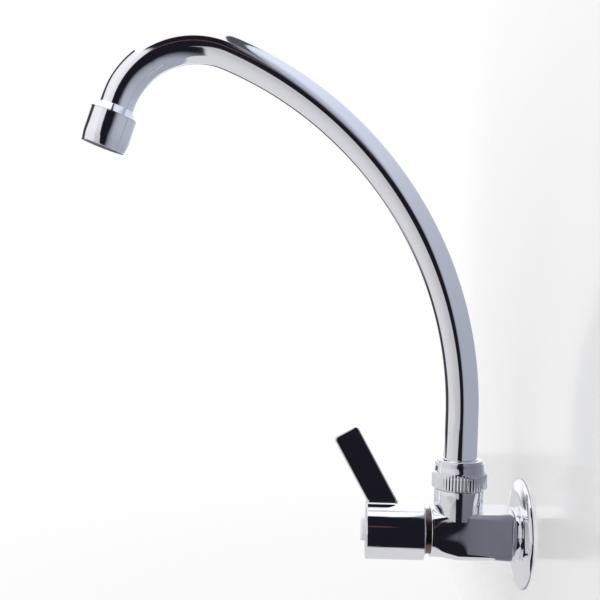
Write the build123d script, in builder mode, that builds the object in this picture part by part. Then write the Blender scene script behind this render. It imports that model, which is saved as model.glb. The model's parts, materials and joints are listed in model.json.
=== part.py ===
from build123d import *
import os

# A single-lever wall tap for a kitchen sink. All lengths are millimetres.
# The wall is the plane Y = 0 and the inlet runs along Y. The tap stands off the wall towards -Y,
# with +X to the right and +Z up. A place along the inlet axis is given as its distance off the wall.

# Fits
thread_clearance = 0.08
running_clearance = 0.08
slip_gap = 0.05
disc_gap = 0.02
seat_clearance = 0.05
loose_clearance = 0.3

# Inlet and casting
inlet_thread_radius = 10.48
inlet_thread_length = 15.0
inlet_thread_chamfer = 1.2
inlet_shank_radius = 10.0
inlet_bore_radius = 6.5
spout_from_wall = 34.5
casting_side = 26.0
casting_corner_radius = 2.6
casting_front_radius = 13.7
casting_front_reach = 15.4
square_front_reach = 1.2
collar_radius = 14.0
collar_length = 4.0
casting_edge_fillet = 0.4

# Boss that carries the spout
boss_wall_over_thread = 0.18
boss_foot_height = 9.0
boss_shoulder_height = 24.2
union_thread_radius = 13.22
union_thread_length = 8.8
spout_passage_radius = 6.5

# Wall flange and its rubber washer
flange_radius = 29.4
flange_sheet = 0.8
flange_rise = 2.5
flange_rim_rise = 1.4
flange_seat_radius = 15.5
flange_lip_width = 1.4
flange_bore_clearance = 0.4
wall_washer_radius = 15.0

# Valve chamber and headwork
seat_depth = 27.4
chamber_radius = 11.0
headwork_thread_radius = 10.48
headwork_thread_length = 8.9
cage_step = 0.88
cage_wall = 1.0
cage_window_width = 10.0
cage_window_length = 4.2
disc_ear_width = 4.0
seat_seal_length = 4.0
seat_seal_proud = 2.5
seat_seal_bore_radius = 6.2
disc_thickness = 3.5
disc_play = 0.2
port_count = 2
port_ring_radius = 4.8
port_arc = 38.0
port_width = 3.6
bonnet_ring_radius = 12.1
bonnet_ring_thickness = 2.6
bonnet_seal_section = 1.5
bonnet_hex_flats = 19.0
bonnet_hex_length = 5.0
bonnet_neck_radius = 7.0
bonnet_neck_length = 4.0

# Spindle
spindle_radius = 4.5
spindle_plate_thickness = 1.5
thrust_washer_thickness = 0.8
drive_bar_width = 5.0
drive_bar_length = 13.0
drive_bar_reach = 6.1
drive_slot_depth = 1.3
drive_slot_clearance = 0.1
spindle_seal_section = 1.5
spindle_seal_spacing = 5.0
groove_clearance = 0.05
circlip_thickness = 0.8
circlip_proud = 1.7
circlip_depth = 0.6
circlip_mouth = 5.0
spline_length = 9.5
spline_radius = 4.0
spline_tooth_depth = 0.4
spline_teeth = 20
spline_insert_radius = 6.5
spline_insert_overhang = 0.95

# Handle
handle_travel = 90.0
hub_gap = 3.1
hub_length = 31.8
hub_radius = 15.6
hub_wall = 2.2
hub_edge_fillet = 0.9
screw_web_thickness = 2.5
screw_radius = 1.95
screw_length = 11.0
screw_hole_clearance = 0.25
screw_head_radius = 3.6
screw_head_height = 2.8
screw_socket_flats = 3.0
screw_socket_depth = 1.5
index_cap_radius = 6.0
index_cap_proud = 2.5
index_cap_screw_gap = 0.8
index_cap_wall = 1.2
index_cap_fillet = 0.9
lever_lean = 29.4
lever_width = 14.6
lever_thickness = 6.0
lever_length = 43.7
lever_root_depth = 6.0
lever_foot_from_face = 9.2
lever_tip_radius = 2.4
lever_edge_fillet = 0.9
lever_root_fillet = 2.4

# Union nut
nut_foot_gap = 0.3
nut_wall = 1.68
nut_knurl_length = 9.2
nut_groove_count = 54
nut_groove_depth = 0.7
nut_shoulder_wall = 0.58
nut_top_wall = 0.1
nut_web_thickness = 2.9
nut_flank_bulge = 0.35
nut_edge_fillet = 0.5

# Spout
tube_radius = 9.0
tube_wall = 1.0
tail_radius = 9.5
tail_bore_radius = 6.5
tail_length = 18.0
tail_end_gap = 1.6
tail_collar_inset = 0.1
tail_collar_thickness = 2.5
tail_stub_length = 10.0
tail_seal_section = 1.8
tail_seal_first = 4.6
tail_seal_spacing = 8.0
slip_ring_thickness = 0.8
slip_ring_inset = 1.22
spout_straight = 23.5
spout_bend_radius = 203.0
spout_bend_angle = 68.8
spout_crown_radius = 44.5
spout_crown_angle = 92.7
spout_end_straight = 8.0

# Outlet adapter and aerator
adapter_lip = 0.3
adapter_cone_length = 4.4
adapter_socket_depth = 6.0
adapter_thread_length = 6.0
adapter_bore_radius = 7.5
housing_radius = 12.2
housing_length = 18.1
housing_wall = 1.12
housing_taper_length = 5.0
housing_taper = 0.8
housing_lip_width = 0.68
housing_lip_height = 1.2
housing_edge_fillet = 0.3
aerator_washer_thickness = 2.0
aerator_washer_width = 2.7
aerator_cage_clearance = 0.18
aerator_cage_wall = 1.2
outlet_grid_height = 2.2
outlet_grid_recess = 1.5
outlet_grid_rib = 0.7
outlet_grid_pitch = 2.6
diffuser_thickness = 1.6
diffuser_depth = 0.6
diffuser_hole_radius = 0.55
diffuser_hole_count = 18
diffuser_hole_ring_radius = 6.6
diffuser_ledge = 0.6
screen_thickness = 0.4
screen_spacing = 0.5
screen_count = 2
screen_hole_radius = 0.7
screen_hole_spacing = 2.1
screen_field_radius = 8.0
filter_radius = 6.6
filter_sheet = 0.4
filter_rise = 3.0
filter_field_radius = 5.6

# Places along the inlet axis, as distances off the wall
casting_front = spout_from_wall + casting_front_reach
square_front = spout_from_wall + square_front_reach
square_back = flange_rise + collar_length
seat_face = casting_front - seat_depth
cage_back = seat_face + seat_seal_proud
barrel_back = casting_front - headwork_thread_length
chamber_front = barrel_back - loose_clearance
headwork_bore_radius = headwork_thread_radius + thread_clearance
fixed_disc_back = seat_face + seat_seal_length
moving_disc_back = fixed_disc_back + disc_thickness + disc_gap
moving_disc_front = moving_disc_back + disc_thickness
drive_bar_back = moving_disc_front - drive_slot_depth + drive_slot_clearance
spindle_plate_back = drive_bar_back + drive_bar_reach
spindle_plate_front = spindle_plate_back + spindle_plate_thickness
thrust_washer_back = spindle_plate_front + slip_gap
cage_ceiling = thrust_washer_back + thrust_washer_thickness + slip_gap
bonnet_ring_front = casting_front + bonnet_ring_thickness
bonnet_front = bonnet_ring_front + bonnet_hex_length + bonnet_neck_length
circlip_back = bonnet_front + 2 * slip_gap
spline_back = circlip_back + circlip_thickness + slip_gap
spindle_front = spline_back + spline_length
hub_back = casting_front + hub_gap
hub_front = hub_back + hub_length
socket_back = spline_back + loose_clearance
socket_front = spindle_front + spline_insert_overhang
screw_seat = socket_front + screw_web_thickness
index_cap_back = screw_seat + screw_head_height + index_cap_screw_gap
index_cap_front = hub_front + index_cap_proud
cage_radius = headwork_thread_radius - cage_step
cage_bore_radius = cage_radius - cage_wall
disc_radius = cage_bore_radius - disc_play
spindle_bore_radius = spindle_radius + running_clearance
circlip_radius = spindle_radius + circlip_proud
screw_hole_radius = screw_radius + screw_hole_clearance
hub_hollow_radius = hub_radius - hub_wall
flange_bore_radius = inlet_thread_radius + flange_bore_clearance
flange_lip_start = flange_radius - flange_lip_width

# Heights above the inlet axis
boss_top = boss_shoulder_height + union_thread_length
tail_collar_foot = boss_top + slip_ring_thickness + slip_gap
tail_collar_top = tail_collar_foot + tail_collar_thickness
tail_foot = tail_collar_foot - tail_length
spout_bore_floor = tail_foot - tail_end_gap
nut_foot = boss_shoulder_height + nut_foot_gap
nut_web_foot = tail_collar_top + slip_gap + slip_ring_thickness
nut_top = nut_web_foot + nut_web_thickness
nut_knurl_top = nut_foot + nut_knurl_length
nut_thread_bore_radius = union_thread_radius + thread_clearance
nut_web_bore_radius = tube_radius + loose_clearance
nut_knurl_radius = union_thread_radius + nut_wall
nut_shoulder_radius = union_thread_radius + nut_shoulder_wall
nut_ledge = boss_top + loose_clearance
boss_radius = union_thread_radius + boss_wall_over_thread
slip_ring_radius = union_thread_radius - slip_ring_inset
nut_top_radius = slip_ring_radius + nut_top_wall
tail_collar_radius = slip_ring_radius - tail_collar_inset
spout_bore_radius = tail_radius + running_clearance

spout_axis = Axis((0, -spout_from_wall, 0), (0, 0, 1))
spout_base = Plane(origin=(0, -spout_from_wall, 0), x_dir=(1, 0, 0), z_dir=(0, 0, 1))
spout_section = Plane(origin=(0, -spout_from_wall, 0), x_dir=(1, 0, 0), z_dir=(0, -1, 0))

os.makedirs("parts", exist_ok=True)


def ring(inner_radius, outer_radius):
    Circle(outer_radius)
    Circle(inner_radius, mode=Mode.SUBTRACT)


# Casting: a round front that runs into a rounded square, the collar and thread behind it, and the boss above
with BuildPart() as tap_body:
    with BuildSketch(Plane.XZ.offset(casting_front)):
        Circle(casting_front_radius)
    with BuildSketch(Plane.XZ.offset(square_front)):
        RectangleRounded(casting_side, casting_side, casting_corner_radius)
    loft()
    fillet(tap_body.faces().sort_by(Axis.Y)[0].outer_wire().edges(), casting_edge_fillet)
    with BuildSketch(Plane.XZ.offset(square_back)):
        RectangleRounded(casting_side, casting_side, casting_corner_radius)
    extrude(amount=square_front - square_back)
    with BuildSketch(Plane.XZ.offset(flange_rise)):
        Circle(collar_radius)
    extrude(amount=collar_length)
    with BuildSketch(spout_base.offset(boss_foot_height)):
        Circle(boss_radius)
    extrude(amount=boss_shoulder_height - boss_foot_height)
    with BuildSketch(spout_base.offset(boss_shoulder_height)):
        Circle(union_thread_radius)
    extrude(amount=union_thread_length)
    with BuildSketch(Plane.XZ):
        Circle(inlet_shank_radius)
    extrude(amount=flange_rise)
    with BuildSketch(Plane.XZ):
        Circle(inlet_thread_radius)
    extrude(amount=-inlet_thread_length)
    chamfer(tap_body.faces().sort_by(Axis.Y)[-1].outer_wire().edges(), inlet_thread_chamfer)
    with BuildSketch(Plane.XZ.offset(-inlet_thread_length)):
        Circle(inlet_bore_radius)
    extrude(amount=inlet_thread_length + seat_face, mode=Mode.SUBTRACT)
    with BuildSketch(Plane.XZ.offset(seat_face)):
        Circle(chamber_radius)
    extrude(amount=chamber_front - seat_face, mode=Mode.SUBTRACT)
    with BuildSketch(Plane.XZ.offset(chamber_front)):
        Circle(headwork_bore_radius)
    extrude(amount=casting_front - chamber_front, mode=Mode.SUBTRACT)
    with BuildSketch(Plane.XZ.offset(casting_front)):
        Circle(headwork_bore_radius + bonnet_seal_section)
    extrude(amount=-bonnet_seal_section, mode=Mode.SUBTRACT)
    with BuildSketch(spout_base.offset(boss_top)):
        Circle(spout_bore_radius)
    extrude(amount=spout_bore_floor - boss_top, mode=Mode.SUBTRACT)
    with BuildSketch(spout_base):
        Circle(spout_passage_radius)
    extrude(amount=spout_bore_floor, mode=Mode.SUBTRACT)
tap_body.part.label = "tap_body"
export_step(tap_body.part, "parts/tap_body.step")

# Wall flange: a shallow pressed dish whose lip meets the wall
with BuildPart() as wall_flange:
    with BuildSketch(Plane.XY):
        with BuildLine():
            dish_front = Polyline(
                (flange_bore_radius, -flange_rise),
                (flange_seat_radius, -flange_rise),
                (flange_lip_start, -flange_rim_rise),
            )
            lip_front = RadiusArc(dish_front @ 1, (flange_radius, 0), flange_lip_width)
            Polyline(
                lip_front @ 1,
                (flange_lip_start, 0),
                (flange_lip_start, flange_sheet - flange_rim_rise),
                (flange_seat_radius, flange_sheet - flange_rise),
                (flange_bore_radius, flange_sheet - flange_rise),
                dish_front @ 0,
            )
        make_face()
    revolve(axis=Axis.Y)
wall_flange.part.label = "wall_flange"
export_step(wall_flange.part, "parts/wall_flange.step")

with BuildPart() as wall_washer:
    with BuildSketch(Plane.XZ):
        ring(flange_bore_radius, wall_washer_radius)
    extrude(amount=flange_rise - flange_sheet)
wall_washer.part.label = "wall_washer"
export_step(wall_washer.part, "parts/wall_washer.step")

# Headwork bonnet: threaded barrel, windowed cage over the discs, stop ring, hexagon and neck
with BuildPart() as headwork_bonnet:
    with BuildSketch(Plane.XZ.offset(barrel_back)):
        Circle(headwork_thread_radius)
    extrude(amount=headwork_thread_length)
    with BuildSketch(Plane.XZ.offset(casting_front)):
        Circle(bonnet_ring_radius)
    extrude(amount=bonnet_ring_thickness)
    with BuildSketch(Plane.XZ.offset(bonnet_ring_front)):
        RegularPolygon(bonnet_hex_flats / 2, 6, major_radius=False)
    extrude(amount=bonnet_hex_length)
    with BuildSketch(Plane.XZ.offset(bonnet_ring_front + bonnet_hex_length)):
        Circle(bonnet_neck_radius)
    extrude(amount=bonnet_neck_length)
    with BuildSketch(Plane.XZ.offset(cage_back)):
        Circle(cage_radius)
    extrude(amount=barrel_back - cage_back)
    with BuildSketch(Plane.XZ.offset(cage_back)):
        Circle(cage_bore_radius)
    extrude(amount=cage_ceiling - cage_back, mode=Mode.SUBTRACT)
    with BuildSketch(Plane.XZ.offset(cage_ceiling)):
        Circle(spindle_bore_radius)
    extrude(amount=bonnet_front - cage_ceiling, mode=Mode.SUBTRACT)
    with BuildSketch(Plane.XZ.offset(moving_disc_front + slip_gap)):
        Rectangle(cage_window_width, 2 * headwork_thread_radius)
    extrude(amount=cage_window_length, mode=Mode.SUBTRACT)
    with BuildSketch(Plane.XZ.offset(cage_back)):
        Rectangle(2 * headwork_thread_radius, disc_ear_width + 2 * slip_gap)
    extrude(amount=fixed_disc_back + disc_thickness - cage_back, mode=Mode.SUBTRACT)
headwork_bonnet.part.label = "headwork_bonnet"
export_step(headwork_bonnet.part, "parts/headwork_bonnet.step")

# Its seal lies in the rebate at the mouth of the casting
with BuildPart(Plane.XZ.offset(casting_front - bonnet_seal_section / 2)) as bonnet_seal:
    Torus(headwork_bore_radius + bonnet_seal_section / 2, bonnet_seal_section / 2)
bonnet_seal.part.label = "bonnet_seal"
export_step(bonnet_seal.part, "parts/bonnet_seal.step")

with BuildPart() as seat_seal:
    with BuildSketch(Plane.XZ.offset(seat_face)):
        ring(seat_seal_bore_radius, disc_radius)
    extrude(amount=seat_seal_length)
seat_seal.part.label = "seat_seal"
export_step(seat_seal.part, "parts/seat_seal.step")


def ports(first_angle):
    with PolarLocations(0, port_count, first_angle):
        SlotArc(CenterArc((0, 0), port_ring_radius, -port_arc / 2, port_arc), port_width, mode=Mode.SUBTRACT)


# Ceramic discs: the ports of the two lie one full travel of the handle apart while the tap is shut.
# Two ears hold the fixed disc in the slots of the cage.
with BuildPart() as fixed_disc:
    with BuildSketch(Plane.XZ.offset(fixed_disc_back)):
        Circle(cage_radius)
        Rectangle(2 * cage_radius, disc_ear_width, mode=Mode.INTERSECT)
        Circle(disc_radius)
        ports(0)
    extrude(amount=disc_thickness)
fixed_disc.part.label = "fixed_disc"
export_step(fixed_disc.part, "parts/fixed_disc.step")

with BuildPart() as moving_disc:
    with BuildSketch(Plane.XZ.offset(moving_disc_back)):
        Circle(disc_radius)
        ports(handle_travel)
    extrude(amount=disc_thickness)
    with BuildSketch(Plane.XZ.offset(moving_disc_front)):
        Rectangle(drive_bar_length + 2 * drive_slot_clearance, drive_bar_width + 2 * drive_slot_clearance)
    extrude(amount=-drive_slot_depth, mode=Mode.SUBTRACT)
moving_disc.part.label = "moving_disc"
export_step(moving_disc.part, "parts/moving_disc.step")

# Spindle: drive bar, plate, barrel with two seal grooves, circlip groove, spline and tapped end
spindle_seal_places = [
    casting_front - spindle_seal_spacing / 2 + place * spindle_seal_spacing for place in (0, 1)
]
with BuildPart() as spindle:
    with BuildSketch(Plane.XZ.offset(drive_bar_back)):
        Rectangle(drive_bar_length, drive_bar_width)
    extrude(amount=drive_bar_reach)
    with BuildSketch(Plane.XZ.offset(spindle_plate_back)):
        Circle(disc_radius)
    extrude(amount=spindle_plate_thickness)
    with BuildSketch(Plane.XZ.offset(spindle_plate_front)):
        Circle(spindle_radius)
    extrude(amount=spline_back - spindle_plate_front)
    with BuildSketch(Plane.XZ.offset(spline_back)):
        Circle(spline_radius)
        with PolarLocations(spline_radius, spline_teeth):
            Rectangle(2 * spline_tooth_depth, spline_tooth_depth, mode=Mode.SUBTRACT)
    extrude(amount=spline_length)
    for place in spindle_seal_places:
        with BuildSketch(Plane.XZ.offset(place - spindle_seal_section / 2 - groove_clearance)):
            ring(spindle_radius - spindle_seal_section - groove_clearance, spindle_radius)
        extrude(amount=spindle_seal_section + 2 * groove_clearance, mode=Mode.SUBTRACT)
    with BuildSketch(Plane.XZ.offset(circlip_back - slip_gap)):
        ring(spindle_radius - circlip_depth, spindle_radius)
    extrude(amount=circlip_thickness + 2 * slip_gap, mode=Mode.SUBTRACT)
    with BuildSketch(Plane.XZ.offset(spindle_front)):
        Circle(screw_radius + seat_clearance)
    extrude(amount=screw_seat - screw_length - spindle_front - slip_gap, mode=Mode.SUBTRACT)
spindle.part.label = "spindle"
export_step(spindle.part, "parts/spindle.step")

with BuildPart(*[Plane.XZ.offset(place) for place in spindle_seal_places]) as spindle_seals:
    Torus(spindle_radius - spindle_seal_section / 2, spindle_seal_section / 2)
spindle_seals.part.label = "spindle_seals"
export_step(spindle_seals.part, "parts/spindle_seals.step")

with BuildPart() as thrust_washer:
    with BuildSketch(Plane.XZ.offset(thrust_washer_back)):
        ring(spindle_radius + seat_clearance, disc_radius)
    extrude(amount=thrust_washer_thickness)
thrust_washer.part.label = "thrust_washer"
export_step(thrust_washer.part, "parts/thrust_washer.step")

# Circlip: an open ring, its mouth narrower than the groove it snaps into
with BuildPart() as spindle_circlip:
    with BuildSketch(Plane.XZ.offset(circlip_back)):
        ring(spindle_radius - circlip_depth + seat_clearance, circlip_radius)
        Rectangle(circlip_mouth, circlip_radius, align=(Align.CENTER, Align.MAX), mode=Mode.SUBTRACT)
    extrude(amount=circlip_thickness)
spindle_circlip.part.label = "spindle_circlip"
export_step(spindle_circlip.part, "parts/spindle_circlip.step")

# Handle: the hub and its leaning lever are one casting
lever_plane = Plane(
    origin=(0, lever_foot_from_face - hub_front, hub_radius), x_dir=(0, 1, 0), z_dir=(1, 0, 0)
).rotated((lever_lean, 0, 0))
with BuildPart() as lever:
    with BuildSketch(lever_plane.offset(-lever_thickness / 2)) as lever_outline:
        with Locations((0, (lever_length - lever_root_depth) / 2)):
            Rectangle(lever_width, lever_length + lever_root_depth)
        fillet(lever_outline.vertices().group_by(Axis.Y)[-1], lever_tip_radius)
    extrude(amount=lever_thickness)
    fillet(lever.faces().filter_by(Axis.X).edges(), lever_edge_fillet)

with BuildPart() as handle:
    with BuildSketch(Plane.XZ.offset(hub_back)):
        Circle(hub_radius)
    extrude(amount=hub_length)
    fillet(handle.edges().filter_by(GeomType.CIRCLE), hub_edge_fillet)
    add(lever.part)
    fillet(handle.edges(Select.NEW), lever_root_fillet)
    with BuildSketch(Plane.XZ.offset(hub_back)):
        Circle(hub_hollow_radius)
    extrude(amount=socket_back - hub_back, mode=Mode.SUBTRACT)
    with BuildSketch(Plane.XZ.offset(socket_back)):
        Circle(spline_insert_radius + seat_clearance)
    extrude(amount=socket_front - socket_back, mode=Mode.SUBTRACT)
    with BuildSketch(Plane.XZ.offset(socket_front)):
        Circle(screw_hole_radius)
    extrude(amount=screw_web_thickness, mode=Mode.SUBTRACT)
    with BuildSketch(Plane.XZ.offset(screw_seat)):
        Circle(index_cap_radius + seat_clearance)
    extrude(amount=hub_front - screw_seat, mode=Mode.SUBTRACT)
handle.part.label = "handle"
export_step(handle.part, "parts/handle.step")

with BuildPart() as spline_insert:
    with BuildSketch(Plane.XZ.offset(socket_back)):
        ring(spline_radius + seat_clearance, spline_insert_radius)
    extrude(amount=socket_front - socket_back)
spline_insert.part.label = "spline_insert"
export_step(spline_insert.part, "parts/spline_insert.step")

with BuildPart() as handle_screw:
    with BuildSketch(Plane.XZ.offset(screw_seat)):
        Circle(screw_head_radius)
    extrude(amount=screw_head_height)
    with BuildSketch(Plane.XZ.offset(screw_seat - screw_length)):
        Circle(screw_radius)
    extrude(amount=screw_length)
    with BuildSketch(Plane.XZ.offset(screw_seat + screw_head_height)):
        RegularPolygon(screw_socket_flats / 2, 6, major_radius=False)
    extrude(amount=-screw_socket_depth, mode=Mode.SUBTRACT)
handle_screw.part.label = "handle_screw"
export_step(handle_screw.part, "parts/handle_screw.step")

# Index cap: a plug that covers the screw and stands proud of the hub's face
with BuildPart() as index_cap:
    with BuildSketch(Plane.XZ.offset(index_cap_back)):
        Circle(index_cap_radius)
    extrude(amount=index_cap_front - index_cap_back)
    fillet(index_cap.faces().sort_by(Axis.Y)[0].edges(), index_cap_fillet)
    with BuildSketch(Plane.XZ.offset(index_cap_back)):
        Circle(index_cap_radius - index_cap_wall)
    extrude(amount=index_cap_front - index_cap_wall - index_cap_back, mode=Mode.SUBTRACT)
index_cap.part.label = "index_cap"
export_step(index_cap.part, "parts/index_cap.step")

# Union nut: knurled band below, smooth rounded flank above, and the web that holds the spout's collar down
with BuildPart() as union_nut:
    with BuildSketch(spout_section):
        with BuildLine():
            nut_inside = Polyline(
                (nut_web_bore_radius, nut_web_foot),
                (slip_ring_radius + loose_clearance, nut_web_foot),
                (slip_ring_radius + loose_clearance, nut_ledge),
                (nut_thread_bore_radius, nut_ledge),
                (nut_thread_bore_radius, nut_foot),
                (nut_knurl_radius, nut_foot),
                (nut_knurl_radius, nut_knurl_top),
                (nut_shoulder_radius, nut_knurl_top),
            )
            nut_flank = SagittaArc(nut_inside @ 1, (nut_top_radius, nut_top), nut_flank_bulge)
            Polyline(nut_flank @ 1, (nut_web_bore_radius, nut_top), nut_inside @ 0)
        make_face()
    revolve(axis=spout_axis)
    fillet(union_nut.faces().sort_by(Axis.Z)[-1].outer_wire().edges(), nut_edge_fillet)
    with BuildSketch(spout_base.offset(nut_foot)):
        with PolarLocations(nut_knurl_radius, nut_groove_count):
            RegularPolygon(nut_groove_depth, side_count=4)
    extrude(amount=nut_knurl_length, mode=Mode.SUBTRACT)
union_nut.part.label = "union_nut"
export_step(union_nut.part, "parts/union_nut.step")

# Plastic slip rings under and over the collar of the spout
with BuildPart() as lower_slip_ring:
    with BuildSketch(spout_base.offset(boss_top)):
        ring(tail_radius + loose_clearance, slip_ring_radius)
    extrude(amount=slip_ring_thickness)
lower_slip_ring.part.label = "lower_slip_ring"
export_step(lower_slip_ring.part, "parts/lower_slip_ring.step")

with BuildPart() as upper_slip_ring:
    with BuildSketch(spout_base.offset(nut_web_foot)):
        ring(tube_radius + loose_clearance, slip_ring_radius)
    extrude(amount=-slip_ring_thickness)
upper_slip_ring.part.label = "upper_slip_ring"
export_step(upper_slip_ring.part, "parts/upper_slip_ring.step")

# Spout tube: a straight foot, one long bend, a tight crown and a short end
with BuildPart() as spout_tube:
    with BuildLine(Plane.YZ):
        foot = Line((-spout_from_wall, tail_collar_top), (-spout_from_wall, nut_top + spout_straight))
        bend = JernArc(foot @ 1, foot % 1, spout_bend_radius, spout_bend_angle)
        crown = JernArc(bend @ 1, bend % 1, spout_crown_radius, spout_crown_angle)
        outlet_end = (crown @ 1) + (crown % 1) * spout_end_straight
        Line(crown @ 1, outlet_end)
    with BuildSketch(spout_base.offset(tail_collar_top)):
        ring(tube_radius - tube_wall, tube_radius)
    sweep()
spout_tube.part.label = "spout_tube"
export_step(spout_tube.part, "parts/spout_tube.step")

# Spout tail: brazed into the foot of the tube, it turns in the boss on two seals
tail_seal_places = [
    tail_collar_foot - tail_seal_first - place * tail_seal_spacing for place in (0, 1)
]
with BuildPart() as spout_tail:
    with BuildSketch(spout_base.offset(tail_foot)):
        Circle(tail_radius)
    extrude(amount=tail_length)
    with BuildSketch(spout_base.offset(tail_collar_foot)):
        Circle(tail_collar_radius)
    extrude(amount=tail_collar_thickness)
    with BuildSketch(spout_base.offset(tail_collar_top)):
        Circle(tube_radius - tube_wall - seat_clearance)
    extrude(amount=tail_stub_length)
    with BuildSketch(spout_base.offset(tail_foot)):
        Circle(tail_bore_radius)
    extrude(amount=tail_length + tail_collar_thickness + tail_stub_length, mode=Mode.SUBTRACT)
    for place in tail_seal_places:
        with BuildSketch(spout_base.offset(place - tail_seal_section / 2 - groove_clearance)):
            ring(tail_radius - tail_seal_section - groove_clearance, tail_radius)
        extrude(amount=tail_seal_section + 2 * groove_clearance, mode=Mode.SUBTRACT)
spout_tail.part.label = "spout_tail"
export_step(spout_tail.part, "parts/spout_tail.step")

with BuildPart(*[spout_base.offset(place) for place in tail_seal_places]) as spout_seals:
    Torus(tail_radius - tail_seal_section / 2, tail_seal_section / 2)
spout_seals.part.label = "spout_seals"
export_step(spout_seals.part, "parts/spout_seals.step")

# Places down the outlet axis, measured from the top of the adapter's cone
outlet_direction = crown % 1
cone_top = outlet_end - outlet_direction * adapter_socket_depth
outlet_base = Plane(origin=cone_top, x_dir=(1, 0, 0), z_dir=outlet_direction)
outlet_section = Plane(origin=cone_top, x_dir=(1, 0, 0), z_dir=Vector(1, 0, 0).cross(outlet_direction))
outlet_axis = Axis(cone_top, outlet_direction)
adapter_foot = adapter_cone_length + adapter_thread_length
housing_foot = adapter_cone_length + housing_length
cage_top = adapter_foot + aerator_washer_thickness
cage_foot = housing_foot - housing_lip_height
diffuser_top = cage_top + diffuser_depth
diffuser_foot = diffuser_top + diffuser_thickness
grid_foot = cage_foot - outlet_grid_recess
grid_top = grid_foot - outlet_grid_height
housing_bore_radius = housing_radius - housing_wall
adapter_thread_radius = housing_bore_radius - thread_clearance
aerator_cage_radius = housing_bore_radius - aerator_cage_clearance
aerator_bore_radius = aerator_cage_radius - aerator_cage_wall
screen_bore_radius = aerator_bore_radius - diffuser_ledge


def sieve(field_radius):
    rows = int(field_radius / screen_hole_spacing)
    return [
        (column * screen_hole_spacing, row * screen_hole_spacing)
        for column in range(-rows, rows + 1)
        for row in range(-rows, rows + 1)
        if Vector(column, row).length * screen_hole_spacing < field_radius
    ]


with BuildPart() as outlet_adapter:
    with BuildSketch(outlet_section):
        with BuildLine():
            Polyline(
                (tube_radius + seat_clearance, 0),
                (tube_radius + adapter_lip, 0),
                (housing_radius, adapter_cone_length),
                (adapter_thread_radius, adapter_cone_length),
                (adapter_thread_radius, adapter_foot),
                (adapter_bore_radius, adapter_foot),
                (adapter_bore_radius, adapter_socket_depth),
                (tube_radius + seat_clearance, adapter_socket_depth),
                close=True,
            )
        make_face()
    revolve(axis=outlet_axis)
outlet_adapter.part.label = "outlet_adapter"
export_step(outlet_adapter.part, "parts/outlet_adapter.step")

# Aerator housing: screws up onto the adapter, and its inner lip carries the cage
with BuildPart() as aerator_housing:
    with BuildSketch(outlet_section):
        with BuildLine():
            Polyline(
                (housing_bore_radius, adapter_cone_length),
                (housing_radius, adapter_cone_length),
                (housing_radius, housing_foot - housing_taper_length),
                (housing_radius - housing_taper, housing_foot),
                (housing_bore_radius - housing_lip_width, housing_foot),
                (housing_bore_radius - housing_lip_width, cage_foot),
                (housing_bore_radius, cage_foot),
                close=True,
            )
        make_face()
    revolve(axis=outlet_axis)
    fillet(aerator_housing.faces().sort_by(outlet_axis)[-1].edges(), housing_edge_fillet)
aerator_housing.part.label = "aerator_housing"
export_step(aerator_housing.part, "parts/aerator_housing.step")

with BuildPart() as aerator_washer:
    with BuildSketch(outlet_base.offset(adapter_foot)):
        ring(aerator_cage_radius - aerator_washer_width, aerator_cage_radius)
    extrude(amount=aerator_washer_thickness)
aerator_washer.part.label = "aerator_washer"
export_step(aerator_washer.part, "parts/aerator_washer.step")

# Aerator cage: a plastic sleeve with the square outlet grid at its foot
with BuildPart() as aerator_cage:
    with BuildSketch(outlet_base.offset(cage_top)):
        Circle(aerator_cage_radius)
    extrude(amount=cage_foot - cage_top)
    with BuildSketch(outlet_base.offset(cage_top)):
        Circle(aerator_bore_radius)
    extrude(amount=diffuser_foot - cage_top, mode=Mode.SUBTRACT)
    with BuildSketch(outlet_base.offset(diffuser_foot)):
        Circle(screen_bore_radius)
    extrude(amount=cage_foot - diffuser_foot, mode=Mode.SUBTRACT)
    grid_lines = int(screen_bore_radius / outlet_grid_pitch)
    with BuildSketch(outlet_base.offset(grid_top)):
        for line in range(-grid_lines, grid_lines + 1):
            with Locations((line * outlet_grid_pitch, 0)):
                Rectangle(outlet_grid_rib, 2 * aerator_cage_radius)
            with Locations((0, line * outlet_grid_pitch)):
                Rectangle(2 * aerator_cage_radius, outlet_grid_rib)
        Circle(aerator_cage_radius - aerator_cage_wall / 2, mode=Mode.INTERSECT)
    extrude(amount=outlet_grid_height)
aerator_cage.part.label = "aerator_cage"
export_step(aerator_cage.part, "parts/aerator_cage.step")

with BuildPart() as aerator_diffuser:
    with BuildSketch(outlet_base.offset(diffuser_top)):
        Circle(aerator_bore_radius - seat_clearance)
        with PolarLocations(diffuser_hole_ring_radius, diffuser_hole_count):
            Circle(diffuser_hole_radius, mode=Mode.SUBTRACT)
    extrude(amount=diffuser_thickness)
aerator_diffuser.part.label = "aerator_diffuser"
export_step(aerator_diffuser.part, "parts/aerator_diffuser.step")

# Screens: a stack of fine sieves that lies on the outlet grid
screen_places = [grid_top - number * screen_spacing for number in range(screen_count)]
with BuildPart() as aerator_screens:
    with BuildSketch(*[outlet_base.offset(place) for place in screen_places]):
        Circle(screen_bore_radius - seat_clearance)
        with Locations(*sieve(screen_field_radius)):
            Circle(screen_hole_radius, mode=Mode.SUBTRACT)
    extrude(amount=-screen_thickness)
aerator_screens.part.label = "aerator_screens"
export_step(aerator_screens.part, "parts/aerator_screens.step")

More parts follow.
